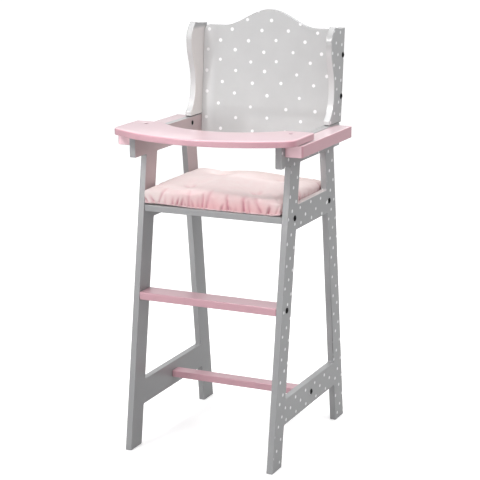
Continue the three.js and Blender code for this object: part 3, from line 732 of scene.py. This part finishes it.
# Cushion
# A loose pad in short pink plush over soft filling. Four tacks draw its top down, its side is drawn into gathers over
# a narrow rolled hem at the foot, and it lies flat on the seat board. The cover is filled by a cloth simulation.
cushion_low, cushion_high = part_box("seat_cushion")
cushion_middle = (cushion_low + cushion_high) / 2
cushion_half = (cushion_high - cushion_low) / 2
cushion_foot = (cushion_middle.x, cushion_middle.y, cushion_low.z)
cover_cells = (84, 68, 9)
cover_corner = {"left": 0.004, "right": 0.009}
cover_side = 0.0200
cover_shoulder = 0.0035
cover_crown = 0.0045
cover_round = 0.009
cover_draw_in = 0.0012
cover_corner_pull = 0.0002
cover_lean = 0.0015
cover_front_room = 0.0012
tack_places = [(0.055 * sx, 0.050 * sy) for sx in (-1, 1) for sy in (-1, 1)]
tack_depth = 0.0065
tack_reach = 0.010
tack_hold = 0.0022
filling_pressure = 2.2
filling_frames = 20
cloth_surplus = 0.010
swell_limit = 0.008
gather_depth = 0.0058
gather_spread = 0.020
gather_width = (0.0012, 0.0022)
gather_step = (0.005, 0.0135)
tall_share = 0.3
tall_reach = (0.026, 0.040)
short_reach = (0.012, 0.024)
ripple_depth = 0.16
ripple_width = 0.007
ripple_height = 0.022
ripple_reach = 0.034
under_fade = 0.006
level_strip = 0.004
foot_curl = 0.0020
curl_strip = 0.012
curl_height = 0.009
left_curl_from, left_curl_run = -0.035, 0.050
right_curl_from, right_curl_run = 0.096, 0.014
ear_push = 0.0042
ear_reach = 0.012
frame_clearance = 0.0001
soft_stop = 0.003
left_corner_room = 0.0022
tack_pucker = 0.0016
pucker_reach = 0.010
pucker_petals = 4
pucker_crease = 0.42


def gathers_along(half_length, seed):
    """Gathers along one side of the cushion: place, width, depth, lean and reach up the side of each fold."""
    chance = random.Random(seed)
    folds, place = [], -half_length + 0.005
    while place < half_length - 0.003:
        tall = chance.random() < tall_share
        folds.append((
            place, chance.uniform(*gather_width), chance.uniform(0.6 if tall else 0.3, 1.0),
            chance.uniform(-0.5, 0.5), chance.uniform(*(tall_reach if tall else short_reach))))
        place += chance.uniform(*gather_step)
    return folds


side_gathers = {
    (0, -1): gathers_along(cushion_half.x, 4), (0, 1): gathers_along(cushion_half.x, 9),
    (-1, 0): gathers_along(cushion_half.y, 12), (1, 0): gathers_along(cushion_half.y, 15)}


def gather_at(x, y, climb):
    """How deep the gathers cut in at a place of the cut cloth: 0 between folds, 1 in the sharpest crease."""
    if abs(x) - cushion_half.x > abs(y) - cushion_half.y:
        folds, place = side_gathers[1 if x > 0 else -1, 0], y
    else:
        folds, place = side_gathers[0, 1 if y > 0 else -1], x
    deep = 0
    for middle, width, depth, lean, reach in folds:
        if climb < reach:
            away = abs(place - middle - lean * climb) / (width * (1 + climb / gather_spread))
            deep = max(deep, depth * (1 - (climb / reach) ** 1.6) * math.exp(-away ** 1.2))
    ripple = noise.noise(Vector((place / ripple_width, climb / ripple_height, 3000 * folds[0][1])))
    return deep - ripple_depth * ripple * max(0, 1 - climb / ripple_reach)


def cover_plan(u, v):
    """Place in the cushion's plan, from -1 to 1 each way, with its corners rounded."""
    x, y = abs(u) * cushion_half.x, abs(v) * cushion_half.y
    corner = cover_corner["right" if u > 0 else "left"]
    over_x, over_y = x - (cushion_half.x - corner), y - (cushion_half.y - corner)
    if over_x > 0 and over_y > 0:
        trim = max(over_x, over_y) / math.hypot(over_x, over_y)
        x = cushion_half.x - corner + over_x * trim
        y = cushion_half.y - corner + over_y * trim
    return math.copysign(x, u), math.copysign(y, v)


def cover_point(i, j, k):
    """Place of a point of the unfilled cover, and where it lies in the cut cloth: across, along, up from the foot."""
    across, along, up = cover_cells
    u, v, w = 2 * i / across - 1, 2 * j / along - 1, k / up
    x, y = cover_plan(u, v)
    edge = min((1 - abs(u)) * cushion_half.x, (1 - abs(v)) * cushion_half.y)
    climb = cover_side * w + (edge if k == up else 0)
    inset = cover_draw_in * (1 - math.sin(math.pi * (0.12 + 0.55 * w)))
    z = (cover_side - cover_lean * u) * w
    if k == 0:
        inset, climb = cover_draw_in * 0.2, -edge
    elif k == up:
        z += cover_crown * math.sqrt(max(0, (1 - u ** 4) * (1 - v ** 4)))
        z += cover_shoulder * math.sin(min(1, edge / cover_round) * math.pi / 2)
        for tack_x, tack_y in tack_places:
            away = math.hypot(x - tack_x, y - tack_y) / tack_reach
            z -= tack_depth * math.exp(-away * away)
    pull_x = 1 - (inset + cover_corner_pull * v ** 4) / cushion_half.x
    pull_y = 1 - (inset + cover_corner_pull * u ** 4) / cushion_half.y
    return Vector((x * pull_x, y * pull_y, z)), Vector((x, y, climb))


def make_cover():
    """The unfilled cover, and the numbers of the points that the board, the hem and the tacks hold."""
    across, along, up = cover_cells
    mesh = bmesh.new()
    found, cuts = {}, []

    def vert(i, j, k):
        if (i, j, k) not in found:
            place, cut = cover_point(i, j, k)
            found[i, j, k] = mesh.verts.new(place)
            cuts.append(cut)
        return found[i, j, k]

    for i in range(across):
        for j in range(along):
            mesh.faces.new([vert(i, j, up), vert(i + 1, j, up), vert(i + 1, j + 1, up), vert(i, j + 1, up)])
            mesh.faces.new([vert(i, j, 0), vert(i, j + 1, 0), vert(i + 1, j + 1, 0), vert(i + 1, j, 0)])
    for k in range(up):
        for i in range(across):
            mesh.faces.new([vert(i, 0, k), vert(i + 1, 0, k), vert(i + 1, 0, k + 1), vert(i, 0, k + 1)])
            mesh.faces.new([vert(i + 1, along, k), vert(i, along, k), vert(i, along, k + 1),
                            vert(i + 1, along, k + 1)])
        for j in range(along):
            mesh.faces.new([vert(0, j + 1, k), vert(0, j, k), vert(0, j, k + 1), vert(0, j + 1, k + 1)])
            mesh.faces.new([vert(across, j, k), vert(across, j + 1, k), vert(across, j + 1, k + 1),
                            vert(across, j, k + 1)])
    mesh.verts.index_update()
    held = [point.index for (i, j, k), point in found.items() if k == 0 or k == up and any(
        math.hypot(point.co.x - tack_x, point.co.y - tack_y) < tack_hold for tack_x, tack_y in tack_places)]
    data = bpy.data.meshes.new("unfilled_cover")
    mesh.to_mesh(data)
    mesh.free()
    cut_cloth = data.attributes.new("cut_cloth", "FLOAT_VECTOR", "POINT")
    cut_cloth.data.foreach_set("vector", [value for cut in cuts for value in cut])
    return data, held


def fill_cover(cover, held):
    """Swells the cover under pressure, as filling does, and lets no point go past the swell limit."""
    held_points = cover.vertex_groups.new(name="held")
    held_points.add(held, 1.0, "REPLACE")
    cloth = cover.modifiers.new("cover", "CLOTH")
    cloth.settings.use_pressure = True
    cloth.settings.uniform_pressure_force = filling_pressure
    cloth.settings.shrink_min = -cloth_surplus
    cloth.settings.vertex_group_mass = "held"
    cloth.settings.pin_stiffness = 50
    cloth.settings.mass = 0.15
    cloth.settings.tension_stiffness = 15
    cloth.settings.compression_stiffness = 15
    cloth.settings.shear_stiffness = 5
    cloth.settings.bending_stiffness = 0.05
    cloth.settings.effector_weights.gravity = 0
    cloth.collision_settings.use_collision = False
    cloth.point_cache.frame_start = 1
    cloth.point_cache.frame_end = filling_frames
    for number in range(1, filling_frames + 1):
        bpy.context.scene.frame_set(number)
    filled = cover.evaluated_get(bpy.context.evaluated_depsgraph_get())
    swelled = [point.co.copy() for point in filled.data.vertices]
    cover.modifiers.remove(cloth)
    cover.vertex_groups.clear()
    bpy.context.scene.frame_set(1)
    for point, end in zip(cover.data.vertices, swelled):
        move = end - point.co
        if move.length > swell_limit:
            move *= swell_limit / move.length
        point.co += move
        point.co.z = max(0, point.co.z)


def sew_gathers(cover):
    """Refines the filled cover, draws its side into gathers and keeps it clear of the side frames."""
    finer = cover.modifiers.new("finer", "SUBSURF")
    finer.levels = finer.render_levels = 1
    fine = bpy.data.meshes.new_from_object(cover.evaluated_get(bpy.context.evaluated_depsgraph_get()))
    cover.modifiers.remove(finer)
    cuts = [item.vector.copy() for item in fine.attributes["cut_cloth"].data]
    normals = [item.vector.copy() for item in fine.vertex_normals]
    creases = []
    for point, (x, y, climb), normal in zip(fine.vertices, cuts, normals):
        deep = gather_at(x, y, max(0, climb)) * max(0, 1 + min(0, climb) / under_fade)
        pucker = 0
        for tack_x, tack_y in tack_places if climb > cover_side else ():
            away = math.hypot(x - tack_x, y - tack_y) / pucker_reach
            petals = 0.5 + 0.5 * math.cos(pucker_petals * math.atan2(y - tack_y, x - tack_x) + 0.5)
            pucker = max(pucker, (0.3 + 0.7 * petals) * math.exp(-away * away))
        point.co -= normal * (tack_pucker * pucker)
        creases.append(max(deep, pucker_crease * pucker))
        if climb < level_strip:
            normal.z = 0
            normal.normalize()
        point.co -= normal * (gather_depth * deep)
        # The left corners are stuffed out to the frame, and the front of the foot curls up a little at both ends
        ear = max(0, 1 - math.hypot(-x - cushion_half.x, abs(y) - cushion_half.y) / ear_reach)
        point.co.x -= ear_push * ear
        point.co.y += math.copysign(ear_push * ear, y)
        curl = max((left_curl_from - x) / left_curl_run, (x - right_curl_from) / right_curl_run)
        if y < -cushion_half.y + curl_strip:
            point.co.z += foot_curl * (max(0, min(1, curl)) * max(0, 1 - abs(climb) / curl_height))
        for axis in (0, 1):
            room = soft_stop - frame_clearance
            reach = cushion_half[axis]
            if point.co[axis] < 0:
                reach += cover_front_room if axis else left_corner_room * ear
            past = abs(point.co[axis]) - (reach - soft_stop)
            if past > 0:
                stop = reach - soft_stop + room * (1 - math.exp(-past / room))
                point.co[axis] = math.copysign(stop, point.co[axis])
    # The fold depths are kept for painting shade into the creases
    folded = fine.attributes.new("crease", "FLOAT", "POINT")
    folded.data.foreach_set("value", creases)
    return fine


def tube_faces(mesh, path, radius, closed, steps=8):
    """Adds a round tube along a level path."""
    rings = []
    for number, middle in enumerate(path):
        last = len(path) - 1
        ahead = path[(number + 1) % len(path) if closed else min(last, number + 1)] - path[
            number - 1 if closed else max(0, number - 1)]
        out = Vector((ahead.y, -ahead.x, 0)).normalized()
        over = out.cross(ahead).normalized()
        rings.append([mesh.verts.new(middle + radius * (out * math.cos(turned) - over * math.sin(turned)))
                      for turned in (2 * math.pi * step / steps for step in range(steps))])
    for first, second in zip(rings, rings[1:] + (rings[:1] if closed else [])):
        for step in range(steps):
            after = (step + 1) % steps
            mesh.faces.new([first[step], second[step], second[after], first[after]])
    if not closed:
        mesh.faces.new(rings[0])
        mesh.faces.new(rings[-1][::-1])


def new_piece(name, mesh):
    """Turns a finished bmesh into a smooth object in the cushion's place."""
    data = bpy.data.meshes.new(name)
    bmesh.ops.recalc_face_normals(mesh, faces=mesh.faces)
    mesh.to_mesh(data)
    mesh.free()
    piece = bpy.data.objects.new(name, data)
    bpy.context.collection.objects.link(piece)
    piece.location = cushion_foot
    data.polygons.foreach_set("use_smooth", [True] * len(data.polygons))
    return piece


cover_mesh, held_points = make_cover()
cover = bpy.data.objects.new("unfilled_cover", cover_mesh)
bpy.context.collection.objects.link(cover)
fill_cover(cover, held_points)
sewn = sew_gathers(cover)
bpy.data.objects.remove(cover)
pad = bpy.data.objects.new("seat_pad", sewn)
bpy.context.collection.objects.link(pad)
pad.location = cushion_foot
sewn.polygons.foreach_set("use_smooth", [True] * len(sewn.polygons))

hem_radius = 0.0010
foot_level = 0.00001
foot = sorted(
    ((math.atan2(cut.vector.y / cushion_half.y, cut.vector.x / cushion_half.x), point.co.copy())
     for point, cut in zip(sewn.vertices, sewn.attributes["cut_cloth"].data)
     if abs(cut.vector.z) < foot_level), key=lambda entry: entry[0])
foot = [place for turned, place in foot]
foot_count = len(foot)
hem_line = [sum((foot[(number + step) % foot_count] for step in range(-2, 3)), Vector()) / 5
            + Vector((0, 0, hem_radius)) for number in range(foot_count)]
hem_mesh = bmesh.new()
tube_faces(hem_mesh, hem_line, hem_radius, closed=True)
hem = new_piece("foot_hem", hem_mesh)

thread_radius = 0.00035
thread_length = 0.0042
thread_lift = 0.0004
thread_arch = 0.0006
top_from = 0.008
thread_mesh = bmesh.new()
for tack_x, tack_y in tack_places:
    dip = min(
        (point.co for point in sewn.vertices if point.co.z >= top_from),
        key=lambda place: (place.x - tack_x) ** 2 + (place.y - tack_y) ** 2)
    for turned in (0.6, 2.1):
        along_thread = Vector((math.cos(turned), math.sin(turned), 0))
        stitch = [dip + along_thread * thread_length * (part - 0.5)
                  + Vector((0, 0, thread_lift + thread_arch * math.sin(math.pi * part)))
                  for part in (step / 6 for step in range(7))]
        tube_faces(thread_mesh, stitch, thread_radius, closed=False, steps=6)
threads = new_piece("tack_threads", thread_mesh)
top_sheen_most = 0.8


def make_plush(name, colour, top_sheen_colour, crease_shade_colour, rear_shade_colour):
    """Short, soft pile with painted light and shade: a paler top as painted sheen, a side that is palest at its left
    end, and deeper pink in the creases and towards the rear of the top as painted shade.
    """
    material, tree, shader = new_material(name)
    place = object_place(tree)
    pile = speckle(tree, place, scale=1500, detail=3, roughness=0.6)
    nap = speckle(tree, place, scale=60, detail=3, roughness=0.55)
    cut = split(tree, add_node(tree, "ShaderNodeAttribute", attribute_name="cut_cloth").outputs["Vector"])
    # Painted sheen: the top is made paler than the side
    top_sheen_share = ramp(tree, cut["Z"], 0.006, 0.030, 0, top_sheen_most)
    # Painted light along the side: palest at the left end and deepest in the middle, added to the nap's random tone
    to_the_ends = calc(tree, "SUBTRACT", times(tree, times(tree, cut["X"], cut["X"]), 78), 0.2)
    to_the_left = times(tree, cut["X"], -4.6)
    side_painted_light = times(tree, calc(tree, "SUBTRACT", top_sheen_most, top_sheen_share), calc(tree, "ADD", to_the_ends, to_the_left))
    nap_and_side_light = calc(tree, "ADD", times(tree, calc(tree, "SUBTRACT", nap, 0.3), 0.5), side_painted_light)
    sheened = blend(tree, calc(tree, "ADD", top_sheen_share, nap_and_side_light, clamp=True), colour, top_sheen_colour)
    # Painted shade: the top darkens towards the rear, except near the left end
    rear_shade_share = times(tree, ramp(tree, cut["Y"], 0.005, 0.065), ramp(tree, cut["X"], -0.075, -0.035))
    rear_shaded = blend(tree, times(tree, top_sheen_share, rear_shade_share), sheened, rear_shade_colour)
    # Painted shade: the creases and the puckers round the tacks are given a deeper pink
    crease = add_node(tree, "ShaderNodeAttribute", attribute_name="crease").outputs["Fac"]
    tree.links.new(blend(tree, ramp(tree, crease, 0.05, 0.75), rear_shaded, crease_shade_colour), shader.inputs["Base Color"])
    relief = calc(tree, "ADD", pile, times(tree, nap, 1.5))
    tree.links.new(raised(tree, relief, distance=0.0004, strength=0.4), shader.inputs["Normal"])
    shader.inputs["Roughness"].default_value = 0.9
    shader.inputs["Sheen Weight"].default_value = 0.5
    shader.inputs["Sheen Roughness"].default_value = 0.4
    shader.inputs["Sheen Tint"].default_value = (1, 0.93, 0.92, 1)
    shader.inputs["Specular IOR Level"].default_value = 0.2
    return material


# Painted light and shade: after the side's pink come the top's painted sheen, the creases' and the rear's painted
# shade
plush = make_plush("pink_plush", (0.77, 0.475, 0.490, 1), (0.80, 0.705, 0.692, 1), (0.61, 0.29, 0.34, 1),
                   (0.56, 0.455, 0.44, 1))
hem_cloth = make_plush("hem_cloth", (0.82, 0.60, 0.62, 1), (0.86, 0.66, 0.68, 1), (0.66, 0.32, 0.37, 1),
                       (0.82, 0.60, 0.62, 1))
for piece, cloth_look in ((pad, plush), (hem, hem_cloth), (threads, hem_cloth)):
    piece.data.materials.append(cloth_look)
    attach(piece, "cushion")
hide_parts("seat_cushion")
